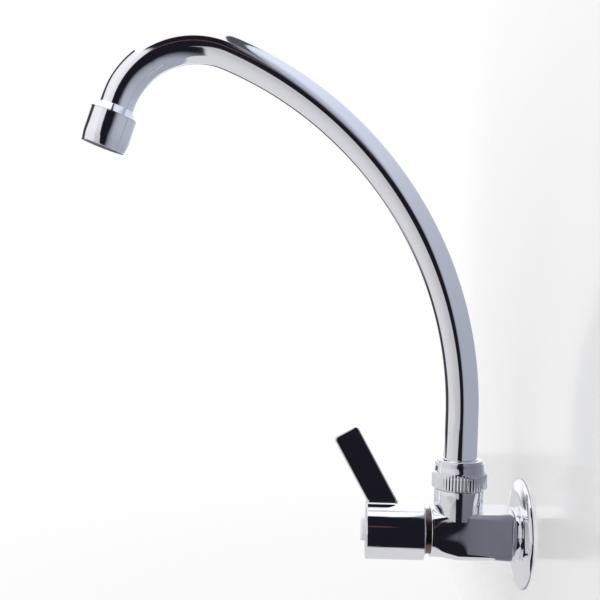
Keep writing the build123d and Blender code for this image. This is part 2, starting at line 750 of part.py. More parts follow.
# Aerator filter: a domed sieve whose brim lies on the diffuser
with BuildPart() as aerator_filter:
    with BuildSketch(outlet_section):
        with BuildLine():
            brim_top = diffuser_top - filter_sheet
            crown_top = brim_top - filter_rise
            dome_outside = TangentArc((0, crown_top), (filter_radius, brim_top), tangent=(1, 0))
            dome_inside = TangentArc(
                (0, crown_top + filter_sheet), (filter_radius - filter_sheet, diffuser_top), tangent=(1, 0)
            )
            Line(dome_outside @ 0, dome_inside @ 0)
            Polyline(
                dome_outside @ 1,
                (aerator_bore_radius - seat_clearance, brim_top),
                (aerator_bore_radius - seat_clearance, diffuser_top),
                dome_inside @ 1,
            )
        make_face()
    revolve(axis=outlet_axis)
    with BuildSketch(outlet_base.offset(crown_top)):
        with Locations(*sieve(filter_field_radius)):
            Circle(screen_hole_radius)
    extrude(amount=filter_rise + filter_sheet, mode=Mode.SUBTRACT)
aerator_filter.part.label = "aerator_filter"
export_step(aerator_filter.part, "parts/aerator_filter.step")
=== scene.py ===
import json
import math

import bmesh
import bpy
from mathutils import Matrix, Vector


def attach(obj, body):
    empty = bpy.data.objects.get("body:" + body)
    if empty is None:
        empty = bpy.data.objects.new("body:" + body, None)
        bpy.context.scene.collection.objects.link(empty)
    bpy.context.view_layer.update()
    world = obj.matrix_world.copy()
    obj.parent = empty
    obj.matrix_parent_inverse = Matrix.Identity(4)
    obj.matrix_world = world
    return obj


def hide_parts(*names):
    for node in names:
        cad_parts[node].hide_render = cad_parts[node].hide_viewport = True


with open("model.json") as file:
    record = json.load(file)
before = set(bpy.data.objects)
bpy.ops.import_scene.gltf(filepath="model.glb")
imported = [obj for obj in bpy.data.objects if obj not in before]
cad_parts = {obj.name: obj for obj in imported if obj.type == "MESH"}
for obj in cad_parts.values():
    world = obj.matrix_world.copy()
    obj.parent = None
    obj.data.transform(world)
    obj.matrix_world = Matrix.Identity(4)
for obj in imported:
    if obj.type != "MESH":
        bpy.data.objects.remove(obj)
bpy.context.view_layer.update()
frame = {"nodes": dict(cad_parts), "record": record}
mm = 0.001
print("frame loaded:", len(frame["nodes"]), "solids")


# shader maths: a Wire is one output socket, so patterns are written as sums and products

class Wire:
    def __init__(self, finish, socket):
        self.finish = finish
        self.socket = socket

    def joined(self, operation, first, second):
        kind = "ShaderNodeVectorMath" if self.socket.type == "VECTOR" else "ShaderNodeMath"
        return self.finish.add(kind, {"operation": operation}, {0: first, 1: second})

    def __add__(self, other):
        return self.joined("ADD", self, other)

    def __radd__(self, other):
        return self.joined("ADD", other, self)

    def __sub__(self, other):
        return self.joined("SUBTRACT", self, other)

    def __rsub__(self, other):
        return self.joined("SUBTRACT", other, self)

    def __mul__(self, other):
        return self.joined("MULTIPLY", self, other)

    def __rmul__(self, other):
        return self.joined("MULTIPLY", other, self)


class Finish:
    # the nodes of one material, or of the world
    def __init__(self, name, shelf=bpy.data.materials, output="ShaderNodeOutputMaterial"):
        self.owner = shelf.new(name)
        self.owner.use_nodes = True
        self.tree = self.owner.node_tree
        self.tree.nodes.clear()
        self.output = self.tree.nodes.new(output)

    def add(self, kind, settings=None, sockets=None, result=0):
        node = self.tree.nodes.new(kind)
        for key, value in (settings or {}).items():
            setattr(node, key, value)
        for key, value in (sockets or {}).items():
            socket = self.pick(node.inputs, key)
            if isinstance(value, Wire):
                self.tree.links.new(value.socket, socket)
            else:
                socket.default_value = value
        return Wire(self, self.pick(node.outputs, result))

    @staticmethod
    def pick(sockets, key):
        # by place, or the first enabled socket of that name
        if isinstance(key, int):
            return sockets[key]
        return next(socket for socket in sockets if socket.name == key and socket.enabled)

    def where(self):
        return self.add("ShaderNodeTexCoord", result="Object")

    def along(self, axis):
        return self.add("ShaderNodeSeparateXYZ", None, {"Vector": self.where()}, axis)

    def noise(self, scale, detail, roughness, spread=None):
        # 3-D noise over the piece, scale in bumps per metre
        place = self.where() if spread is None else self.where() * spread
        return self.add("ShaderNodeTexNoise", None,
                        {"Vector": place, "Scale": scale, "Detail": detail, "Roughness": roughness})

    def rise(self, value, low, high):
        # 0 below low, 1 above high, smooth between
        return self.add("ShaderNodeMapRange", {"interpolation_type": "SMOOTHSTEP"},
                        {"Value": value, "From Min": low, "From Max": high})

    def blend(self, share, first, second):
        return self.add("ShaderNodeMix", {"data_type": "RGBA"},
                        {"Factor": share, "A": first, "B": second}, "Result")

    def mixed(self, share, first, second):
        return self.add("ShaderNodeMixShader", None, {0: share, 1: first, 2: second})

    def bump(self, height, depth, below=None):
        sockets = {"Height": height, "Distance": depth, "Strength": 1.0}
        if below is not None:
            sockets["Normal"] = below
        return self.add("ShaderNodeBump", None, sockets)

    def show(self, shader):
        self.tree.links.new(shader.socket, self.output.inputs["Surface"])
        return self.owner

    def surface(self, sockets):
        return self.show(self.add("ShaderNodeBsdfPrincipled", None, sockets))


def rgb(red, green, blue):
    return (red, green, blue, 1.0)


def grey(shade):
    return rgb(shade, shade, shade)


# finishes

chromeLook = {
    "colour": (0.9, 0.915, 0.943),
    "smudgeShade": 0.73,
    "smudgeShare": 0.06,
    "gloss": 0.045,            # roughness of the clean plating
    "smudge": 0.05,            # roughness that handling adds
    "smudgeNoise": (60.0, 4.0, 0.6),
    "smudgeFrom": 0.45,
    "smudgeTo": 0.8,
    "waveNoise": (55.0, 1.0, 0.5),     # polishing waves, bumps per metre first
    "waveDepth": 0.000012,
    "pinNoise": (2600.0, 2.0, 0.5),
    "pinDepth": 0.0000012,
}


def chromeFinish(name, look):
    finish = Finish(name)
    smudge = finish.rise(finish.noise(*look["smudgeNoise"]), look["smudgeFrom"], look["smudgeTo"])
    tint = finish.blend(smudge * look["smudgeShare"], rgb(*look["colour"]), grey(look["smudgeShade"]))
    waves = finish.bump(finish.noise(*look["waveNoise"]), look["waveDepth"])
    return finish.surface({
        "Base Color": tint,
        "Metallic": 1.0,
        "Roughness": smudge * look["smudge"] + look["gloss"],
        "Normal": finish.bump(finish.noise(*look["pinNoise"]), look["pinDepth"], waves),
    })


turnedLook = {
    "ringNoise": (2400.0, 2.0, 0.6),
    "ringDepth": 0.000006,
    "ringRough": 0.08,
    "stainNoise": (150.0, 4.0, 0.6),
    "stainFrom": 0.4,
    "stainTo": 0.75,
    "stainShare": 0.6,
    "stainDark": 0.75,
    "stainRough": 0.12,
}
ringsAlongInlet = (0.02, 1.0, 0.02)
ringsAlongSpout = (0.02, 0.02, 1.0)


def turnedFinish(name, colour, roughness, spread, look=turnedLook):
    # fine tool rings across the turning axis, with a little stain
    finish = Finish(name)
    rings = finish.noise(*look["ringNoise"], spread)
    stain = finish.rise(finish.noise(*look["stainNoise"]), look["stainFrom"], look["stainTo"])
    stained = rgb(*[look["stainDark"] * part for part in colour])
    return finish.surface({
        "Base Color": finish.blend(stain * look["stainShare"], rgb(*colour), stained),
        "Metallic": 1.0,
        "Roughness": stain * look["stainRough"] + (rings * look["ringRough"] + roughness),
        "Normal": finish.bump(rings, look["ringDepth"]),
    })


cloudLook = {"detail": (4.0, 0.6), "dark": 0.88, "light": 1.08, "rough": 0.16}


def cloudedFinish(name, colour, metallic, roughness, grain, depth, look=cloudLook):
    # fine clouds in the colour, the gloss and the surface
    finish = Finish(name)
    cloud = finish.noise(grain, *look["detail"])
    dark = rgb(*[look["dark"] * part for part in colour])
    light = rgb(*[min(1, look["light"] * part) for part in colour])
    return finish.surface({
        "Base Color": finish.blend(cloud, dark, light),
        "Metallic": metallic,
        "Roughness": cloud * look["rough"] + (roughness - look["rough"] / 2),
        "Normal": finish.bump(cloud, depth),
    })


brassColour = (0.66, 0.46, 0.22)
finishes = {
    "chrome": chromeFinish("chromePlate", chromeLook),
    "brass": turnedFinish("turnedBrass", brassColour, 0.2, ringsAlongInlet),
    "tailBrass": turnedFinish("turnedTail", brassColour, 0.2, ringsAlongSpout),
    # the ring between hub and casting: partly its own dark bronze tone, partly painted shade darkening it
    # for the ring sunk in its groove
    "shadedRingBronze": turnedFinish("ringBronzePaintedShade", (0.16, 0.125, 0.11), 0.16, ringsAlongInlet),
    "steel": cloudedFinish("stainless", (0.6, 0.6, 0.61), 1.0, 0.3, 1500.0, 0.000005),
    "cap_plastic": cloudedFinish("capPlastic", (0.85, 0.86, 0.88), 0.0, 0.22, 1200.0, 0.000004),
    "slip_plastic": cloudedFinish("slipPlastic", (0.86, 0.85, 0.8), 0.0, 0.45, 1200.0, 0.000008),
    "aerator_plastic": cloudedFinish("aeratorPlastic", (0.34, 0.33, 0.33), 0.0, 0.45, 1200.0, 0.000008),
    "ceramic": cloudedFinish("ceramic", (0.9, 0.89, 0.86), 0.0, 0.2, 2500.0, 0.000003),
    "rubber": cloudedFinish("rubber", (0.04, 0.04, 0.04), 0.0, 0.65, 1800.0, 0.00002),
}
# the bonnet ring takes the bronze that carries painted shade
ownFinish = {"headwork_bonnet": "shadedRingBronze", "spout_tail": "tailBrass"}

slotOf = {part["node"]: part["material_slot"] for part in frame["record"]["subparts"]}
for name, node in frame["nodes"].items():
    node.data.materials.clear()
    node.data.materials.append(finishes[ownFinish.get(name, slotOf[name])])
print("finishes made:", len(finishes))


def rise(value, low, high):
    # 0 below low, 1 above high, smooth between
    share = min(1.0, max(0.0, (value - low) / (high - low)))
    return share * share * (3 - 2 * share)


def between(value, stops):
    # straight lines through the stops
    for (low, first), (high, second) in zip(stops, stops[1:]):
        if value <= high:
            return first + (second - first) * max(0.0, (value - low) / (high - low))
    return stops[-1][1]


# pieces: meshes with the detail that the solids leave out, each in place of its node

def makePiece(name, skinned, body, slot, nodes, sharp):
    points, faces = skinned
    mesh = bpy.data.meshes.new(name)
    mesh.from_pydata(points, [], faces)
    mesh.validate()
    bm = bmesh.new()
    bm.from_mesh(mesh)
    bmesh.ops.remove_doubles(bm, verts=bm.verts, dist=mm / 1000)
    bmesh.ops.recalc_face_normals(bm, faces=bm.faces)
    bm.to_mesh(mesh)
    bm.free()
    mesh.shade_smooth()
    mesh.set_sharp_from_angle(angle=math.radians(sharp))
    mesh.materials.append(finishes[slot])
    piece = bpy.data.objects.new(name, mesh)
    bpy.context.scene.collection.objects.link(piece)
    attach(piece, body)
    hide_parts(*nodes)
    return piece


def skin(rings, closed=True):
    # faces between rings of equal length, each ring closed on itself
    count = len(rings[0])
    points = [point for ring in rings for point in ring]
    last = len(rings) if closed else len(rings) - 1
    faces = []
    for i in range(last):
        here, there = i * count, ((i + 1) % len(rings)) * count
        for j in range(count):
            k = (j + 1) % count
            faces.append((here + j, here + k, there + k, there + j))
    return points, faces


def arc(centre, radius, first, last, steps):
    # points on an arc, angles in degrees
    turns = [math.radians(first + (last - first) * i / steps) for i in range(steps + 1)]
    return [(centre[0] + radius * math.cos(a), centre[1] + radius * math.sin(a)) for a in turns]


def roundedEdge(radius, height, edge, first, steps):
    # the outer edge under a flat top
    return arc((radius - edge, height - edge), edge, first, 90, steps)


swivelOut = 34.5      # the spout's axis, off the wall
pipePitch = 1.814     # both pipe threads, 14 turns to the inch


def alongWall(radius, turn, out):
    # turned about the inlet: out is the distance off the wall
    return Vector((radius * math.cos(turn), -out, radius * math.sin(turn))) * mm


def upBoss(radius, turn, height):
    # turned about the spout's swivel
    return Vector((radius * math.cos(turn), radius * math.sin(turn) - swivelOut, height)) * mm


def circleTurns(count):
    return [2 * math.pi * i / count for i in range(count)]


def turned(profile, place, count):
    return [[place(radius, turn, height) for turn in circleTurns(count)] for radius, height in profile]


nutLook = {
    "teeth": 54,
    "pointsPerTooth": 8,
    "grooveDepth": 0.36,
    "grooveSharpness": 1.6,
    "grooveStart": (0.1, 0.9),     # above the foot, where the grooves run in
    "grooveEnd": 0.3,              # below the band's top, where they start to run out
    "foot": 24.6,
    "footRadii": (13.2, 13.9),
    "footBevel": ((0.25, 0.35), (0.0, 0.8)),   # in from the band and up from the foot
    "bandRadius": 14.9,
    "bandRows": (26.5, 28.0, 29.5, 31.0),
    "bandTop": 31.9,
    "slopeRows": (0.15, 0.35, 0.6, 0.85, 1.0),
    "domeFoot": 34.0,
    "domeRadius": 13.7,
    "domeBulge": 0.22,
    "domeRows": 12,
    "topRadius": 12.5,
    "topEdge": 0.8,
    "topEdgeStart": 18,
    "topEdgeRows": 7,
    "top": 40.1,
    "holeRadius": 9.3,
    "holeEdge": 0.2,
    "inside": (13.3, 38.6),        # radius and height of the room inside
}


def unionNut(look):
    foot, top, band = look["foot"], look["top"], look["bandRadius"]
    profile = [(radius, foot) for radius in look["footRadii"]]
    profile += [(band - inset, foot + up) for inset, up in look["footBevel"]]
    profile += [(band, height) for height in (*look["bandRows"], look["bandTop"])]
    profile += [(band + (look["domeRadius"] - band) * t,
                 look["bandTop"] + (look["domeFoot"] - look["bandTop"]) * t) for t in look["slopeRows"]]
    for i in range(1, look["domeRows"] + 1):
        t = i / look["domeRows"]
        radius = look["domeRadius"] + (look["topRadius"] - look["domeRadius"]) * t
        profile.append((radius + look["domeBulge"] * math.sin(math.pi * t),
                        look["domeFoot"] + (top - look["topEdge"] - look["domeFoot"]) * t))
    profile += roundedEdge(look["topRadius"], top, look["topEdge"], look["topEdgeStart"],
                           look["topEdgeRows"])
    insideRadius, insideTop = look["inside"]
    profile += [(look["holeRadius"] + look["holeEdge"], top), (look["holeRadius"], top - look["holeEdge"]),
                (look["holeRadius"], insideTop), (insideRadius, insideTop), (insideRadius, foot)]
    runIn, full = look["grooveStart"]
    rings = []
    for radius, height in profile:
        depth = look["grooveDepth"] * rise(height, foot + runIn, foot + full)
        depth *= 1 - rise(height, look["bandTop"] - look["grooveEnd"], look["domeFoot"])
        ring = []
        for i, turn in enumerate(circleTurns(look["teeth"] * look["pointsPerTooth"])):
            tooth = (i % look["pointsPerTooth"]) / look["pointsPerTooth"]
            cut = depth * abs(math.cos(math.pi * tooth)) ** look["grooveSharpness"]
            ring.append(upBoss(radius - cut, turn, height))
        rings.append(ring)
    return makePiece("unionNutKnurled", skin(rings), "body", "chrome", ["union_nut"], 50.0)


castingLook = {
    "front": 49.9,
    "frontRadius": 13.7,
    "frontBore": 12.3,
    "ringDepth": 1.1,
    "waist": (13.2, 13.6),       # half width and half height just behind the front ring
    "waistRows": 16,
    "square": 26.0,
    "corner": 3.0,
    "lowCorner": 4.8,
    "squareFront": 35.7,
    "squareRows": (30.0, 22.0, 14.0),
    "squareBack": 6.5,
    "edge": 0.45,
    "edgeRows": 5,
    "backEdgeTurns": (20, 45, 70, 90),
    "collarRadius": 14.0,
    "collarBack": 2.5,
    "collarEdge": (0.98, 0.3),   # share of the radius, and depth
    "shankRadius": 10.0,
    "cornerTurn": 13.0,          # half of the circle's turn that a corner takes, degrees
    "flatSteps": 30,
    "cornerSteps": 14,
}


def castingSection(look):
    # matching points on the round front and on the rounded square, one quarter at a time
    half = look["square"] / 2
    swing = 45 - look["cornerTurn"]
    corners = (look["corner"], look["corner"], look["lowCorner"], look["lowCorner"])
    circle, square = [], []
    for quarter, corner in enumerate(corners):
        start, reach = half - corners[quarter - 1], half - corner
        turn = 90 * quarter
        flats = [-1 + 2 * i / look["flatSteps"] for i in range(look["flatSteps"])]
        places = [(turn + swing * v, (half, (start + reach) * (v + 1) / 2 - start)) for v in flats]
        for i in range(look["cornerSteps"]):
            v = i / look["cornerSteps"]
            bend = math.radians(90 * v)
            places.append((turn + swing + 2 * look["cornerTurn"] * v,
                           (reach + corner * math.cos(bend), reach + corner * math.sin(bend))))
        c, s = math.cos(math.radians(turn)), math.sin(math.radians(turn))
        for angle, (across, up) in places:
            circle.append((math.cos(math.radians(angle)), math.sin(math.radians(angle))))
            square.append((across * c - up * s, across * s + up * c))
    return circle, square


def casting(look):
    circle, square = castingSection(look)
    edge, front, back = look["edge"], look["front"], look["squareBack"]

    def roundRing(radius, out):
        return [Vector((x * radius, -out, z * radius)) * mm for x, z in circle]

    def squareRing(inset, out):
        share = 1 - 2 * inset / look["square"]
        return [Vector((x * share, -out, z * share)) * mm for x, z in square]

    def waistRing(t, out):
        wide, tall = look["waist"]
        return [Vector(((1 - t) * wide * cx + t * sx, -out, (1 - t) * tall * cz + t * sz)) * mm
                for (cx, cz), (sx, sz) in zip(circle, square)]

    rings = [roundRing(look["frontBore"], front)]
    rounding = roundedEdge(look["frontRadius"], front, edge, 0, look["edgeRows"])
    rings += [roundRing(radius, out) for radius, out in reversed(rounding)]
    ringFoot = front - look["ringDepth"]
    rings.append(roundRing(look["frontRadius"], ringFoot))
    for i in range(look["waistRows"] + 1):
        t = i / look["waistRows"]
        rings.append(waistRing(t, ringFoot + (look["squareFront"] - ringFoot) * t))
    rings += [squareRing(0.0, out) for out in (*look["squareRows"], back + edge)]
    for a in map(math.radians, look["backEdgeTurns"]):
        rings.append(squareRing(edge * (1 - math.cos(a)), back + edge * (1 - math.sin(a))))
    share, depth = look["collarEdge"]
    rings.append(roundRing(look["collarRadius"], back))
    rings.append(roundRing(look["collarRadius"], look["collarBack"] + depth))
    rings.append(roundRing(look["collarRadius"] * share, look["collarBack"]))
    rings += [roundRing(look["shankRadius"], out) for out in (look["collarBack"], 0.0)]
    return makePiece("casting", skin(rings, closed=False), "body", "chrome", ["tap_body"], 24.0)


bossLook = {
    "radius": 13.4,
    "foot": 8.6,
    "rows": (10.0, 16.0),
    "top": 24.2,
    "edge": 0.4,
    "edgeStart": 20,
    "edgeRows": 4,
    "bore": 9.6,
    "threadTop": 33.0,
    "crest": 13.12,
    "root": 12.3,
    "groove": 0.4,             # the plain part between two ridges
    "crestRows": (0.8, 1.0),   # up from a ridge's foot
    "endBevel": (12.0, 0.3),
    "points": 192,
}


def boss(look):
    top, threadTop, bore = look["top"], look["threadTop"], look["bore"]
    profile = [(bore, look["foot"]), (look["radius"], look["foot"])]
    profile += [(look["radius"], height) for height in (*look["rows"], top - look["edge"])]
    profile += roundedEdge(look["radius"], top, look["edge"], look["edgeStart"], look["edgeRows"])
    for i in range(int((threadTop - top) / pipePitch)):
        start = top + look["groove"] + pipePitch * i
        profile.append((look["root"], start))
        profile += [(look["crest"], start + up) for up in look["crestRows"]]
    endRadius, bevel = look["endBevel"]
    profile += [(look["root"], threadTop - bevel), (endRadius, threadTop), (bore, threadTop)]
    rings = turned(profile, upBoss, look["points"])
    return makePiece("boss", skin(rings), "body", "chrome", ["tap_body"], 24.0)


threadLook = {
    "crest": 10.44,
    "root": 9.3,
    "flankSlope": 2.5,
    "crestShare": 1.25,        # above 1 the ridge has a flat crest
    "runOut": 1.2,
    "end": 15.0,
    "chamfer": 1.1,
    "bore": 6.5,
    "boreEdge": 0.5,
    "boreDepth": 40.0,
    "points": 120,
    "rowsPerTurn": 12,
}


def inletThread(look):
    # a helical ridge on a tube, run out at both ends
    def crest(turn, back):
        phase = (back / pipePitch - turn / (2 * math.pi)) % 1.0
        ridge = look["crestShare"] - look["flankSlope"] * abs(phase - 0.5)
        ridge = rise(ridge, 0.0, 1.0) * rise(back, 0.0, look["runOut"])
        limit = look["crest"] - max(0.0, back - (look["end"] - look["chamfer"]))
        return min(limit, look["root"] + (look["crest"] - look["root"]) * ridge)

    turns = circleTurns(look["points"])
    end, bore, edge = look["end"], look["bore"], look["boreEdge"]
    rows = int(end / pipePitch * look["rowsPerTurn"])
    backs = [end * i / rows for i in range(rows + 1)]
    rings = [[alongWall(crest(turn, back), turn, -back) for turn in turns] for back in backs]
    rings += turned([(bore + edge, -end), (bore, edge - end), (bore, look["boreDepth"]),
                     (look["root"], look["boreDepth"])], alongWall, look["points"])
    return makePiece("inletThread", skin(rings), "body", "chrome", ["tap_body"], 40.0)


flangeLook = {
    "radius": 29.4,
    "sheet": 0.8,
    "hole": 10.9,
    "flatRadius": 15.5,
    "flatOut": 2.5,
    "rimRadius": 27.0,
    "rimOut": 2.2,
    "rimInside": 1.2,
    "rimTurns": (15, 30, 45, 60, 72, 82, 90),
    "swell": 0.9,
    "swellLean": 0.8,          # below 1 the swell sits nearer the middle
    "rows": 24,
    "points": 256,
}


def wallFlange(look):
    flat, rim = look["flatRadius"], look["rimRadius"]
    profile = [(look["hole"], look["flatOut"]), (flat, look["flatOut"])]
    for i in range(1, look["rows"] + 1):
        t = i / look["rows"]
        profile.append((flat + (rim - flat) * t, look["flatOut"] + (look["rimOut"] - look["flatOut"]) * t
                        + look["swell"] * math.sin(math.pi * t ** look["swellLean"])))
    profile += [(rim + (look["radius"] - rim) * math.sin(a), look["rimOut"] * math.cos(a))
                for a in map(math.radians, look["rimTurns"])]
    inner = look["flatOut"] - look["sheet"]
    profile += [(look["radius"] - look["sheet"], 0.0), (rim, look["rimInside"])]
    profile += [(flat, inner), (look["hole"], inner)]
    rings = turned(profile, alongWall, look["points"])
    return makePiece("flangeSpun", skin(rings), "body", "chrome", ["wall_flange"], 35.0)


tubeLook = {
    "radius": 9.0,
    "bore": 8.0,
    "foot": 36.35,
    "footRun": 50.0,
    "bendStart": 63.6,
    "longRadius": 203.0,
    "longTurn": 68.8,
    "longSteps": 90,
    "crownRadius": 44.5,
    "crownTurn": 161.5,
    "crownSteps": 70,
    "lastRun": 8.0,
    "points": 96,
}


def tubeLine(look):
    # the centre line and its direction, as distance off the wall and height
    def bend(centre, radius, turns):
        return [(centre[0] - radius * math.cos(math.radians(turn)),
                 centre[1] + radius * math.sin(math.radians(turn)), turn) for turn in turns]

    line = [(swivelOut, look["foot"], 0.0), (swivelOut, look["footRun"], 0.0)]
    centre = (swivelOut + look["longRadius"], look["bendStart"])
    steps = look["longSteps"]
    line += bend(centre, look["longRadius"], [look["longTurn"] * i / steps for i in range(steps + 1)])
    a = math.radians(look["longTurn"])
    inner = look["longRadius"] - look["crownRadius"]
    centre = (centre[0] - inner * math.cos(a), centre[1] + inner * math.sin(a))
    steps, rest = look["crownSteps"], look["crownTurn"] - look["longTurn"]
    turns = [look["longTurn"] + rest * i / steps for i in range(1, steps + 1)]
    line += bend(centre, look["crownRadius"], turns)
    out, height, turn = line[-1]
    a = math.radians(turn)
    line.append((out + look["lastRun"] * math.sin(a), height + look["lastRun"] * math.cos(a), turn))
    return line


def aroundLine(middle, bend, turn, radius):
    # a point beside the centre line, where the line has turned by bend
    across = Vector((0, -math.cos(bend), -math.sin(bend)))
    return (middle + (Vector((1, 0, 0)) * math.cos(turn) + across * math.sin(turn)) * radius) * mm


def spoutTube(look):
    def ring(out, height, bend, radius):
        return [aroundLine(Vector((0, -out, height)), math.radians(bend), turn, radius)
                for turn in circleTurns(look["points"])]

    line = tubeLine(look)
    rings = [ring(*station, look["radius"]) for station in line]
    rings += [ring(*station, look["bore"]) for station in reversed(line)]
    return makePiece("spoutTubeBent", skin(rings), "spout", "chrome", ["spout_tube"], 40.0)


outletLook = {
    "points": 144,
    "coneStart": 2.0,          # along the tube's last straight run
    "tubeRadius": 9.3,
    "tubeEdge": (0.1, 0.25),   # inward, and down
    "bore": 7.5,
    "boreEdge": 0.3,
    "coneLength": 4.4,
    "coneHollow": 0.18,
    "coneRows": 8,
    "coneFoot": 0.3,           # the short straight part under the cone
    "coneEdge": (0.15, 0.12),
    "joint": 0.08,             # the fine gap between cone and housing
    "topRounding": 0.15,
    "spigot": (11.0, 6.0),     # radius and length of the part inside the housing
    "radius": 12.2,
    "length": 18.1,
    "plainRows": (0.3, 0.6, 1.0),
    "taperRows": (0.3, 0.6),
    "taperLength": 5.0,
    "taper": 0.8,
    "edge": 0.3,
    "edgeMiddle": 0.1,
    "lipInside": 10.4,
    "lipHeight": 1.2,
    "wall": 1.12,
}


def downSpout(radius, turn, down):
    # turned about the outlet, down is the distance below the cone's top
    bend = math.radians(tubeLook["crownTurn"])
    out, height, _ = tubeLine(tubeLook)[-1]
    ahead = Vector((0, -math.sin(bend), math.cos(bend)))
    start = Vector((0, -out, height)) - ahead * (tubeLook["lastRun"] - outletLook["coneStart"])
    return aroundLine(start + ahead * down, bend, turn, radius)


def adapter(look):
    length, wide, bore = look["coneLength"], look["radius"], look["bore"]
    edgeIn, edgeDown = look["tubeEdge"]
    profile = [(bore, look["boreEdge"]), (look["tubeRadius"] - edgeIn, 0.0), (look["tubeRadius"], edgeDown)]
    run = length - edgeDown - look["coneFoot"]
    for i in range(1, look["coneRows"] + 1):
        t = i / look["coneRows"]
        hollow = look["coneHollow"] * math.sin(math.pi * t)
        profile.append((look["tubeRadius"] + (wide - look["tubeRadius"]) * t - hollow,
                        edgeDown + run * t))
    edgeIn, edgeDown = look["coneEdge"]
    profile += [(wide, length - edgeDown), (wide - edgeIn, length)]
    spigot, reach = look["spigot"]
    profile += [(spigot, length), (spigot, length + reach), (bore, length + reach)]
    rings = turned(profile, downSpout, look["points"])
    return makePiece("outletCone", skin(rings), "spout", "chrome", ["outlet_adapter"], 35.0)


def housing(look):
    wide, edge = look["radius"], look["edge"]
    top, foot = look["coneLength"] + look["joint"], look["coneLength"] + look["length"]
    inner, mouth, lipTop = wide - look["wall"], wide - look["taper"], foot - look["lipHeight"]
    rounding = look["topRounding"]
    taperTop = foot - look["taperLength"]
    profile = [(inner, top), (wide - rounding, top), (wide, top + rounding)]
    profile += [(wide, top + (taperTop - top) * t) for t in look["plainRows"]]
    profile += [(wide - look["taper"] * t, taperTop + look["taperLength"] * t) for t in look["taperRows"]]
    middle = look["edgeMiddle"]
    profile += [(mouth, foot - edge), (mouth - middle, foot - middle), (mouth - edge, foot)]
    profile += [(look["lipInside"], foot), (look["lipInside"], lipTop), (inner, lipTop)]
    rings = turned(profile, downSpout, look["points"])
    return makePiece("housingTurned", skin(rings), "spout", "chrome", ["aerator_housing"], 12.0)


unionNut(nutLook)
conePiece = adapter(outletLook)
housingPiece = housing(outletLook)
casting(castingLook)
boss(bossLook)
inletThread(threadLook)
wallFlange(flangeLook)
tubePiece = spoutTube(tubeLook)
print("pieces made")


# the studio: a pale floor and wall, and for the chrome two rooms of glowing cards with one dark side,
# a room that the spout mirrors and a room that everything else mirrors

studio = {
    "floorHeight": -0.11,
    "floorSize": 5.0,
    "floorShade": 0.93,
    "floorShine": 0.0,
    "floorGlow": 0.72,             # share of plain white that the eye sees on the floor
    "floorWhite": (0.12, 0.75),    # from here to there the floor turns plain white
    "wallAt": 0.0002,              # just behind the flange's back
    "wallSunk": 0.02,              # how far its foot goes below the floor
    "wallReach": (-0.32, 0.5),
    "wallTop": 0.42,
    "wallShade": 0.86,
    "wallShine": 1.0,
    "wallGlow": 0.25,
    "wallFadeLeft": -0.1,          # the wall is whole from here
    "wallFadeTop": 0.12,
    "wallFadeLow": -0.03,
    "sheetRough": 0.14,
    "skyForLight": 0.74,
    "roomLow": (-0.8, -1.0, -0.1),
    "roomHigh": (1.0, 0.0004, 1.2),
    "roomStep": 0.01,
    "warm": (0.99, 0.98, 1.0),
    "cool": (0.94, 0.99, 1.14),
    "gap": (0.016, 0.015, 0.024),  # what the dark side still gives
    "ember": (0.17, 0.07, 0.07),   # a thin red-brown strip on the dark side
    "level": 0.69,                 # brings the rooms down to plain white on the plating
}


def inside(value, low, high, soft):
    return rise(value, low - soft, low + soft) * (1 - rise(value, high - soft, high + soft))


def fall(value, low, high):
    return 1 - rise(value, low, high)


def past(value, edge, soft):
    return rise(value, edge - soft, edge + soft)


# what the spout mirrors: stops are (place, value) in metres, fades are (from, to)

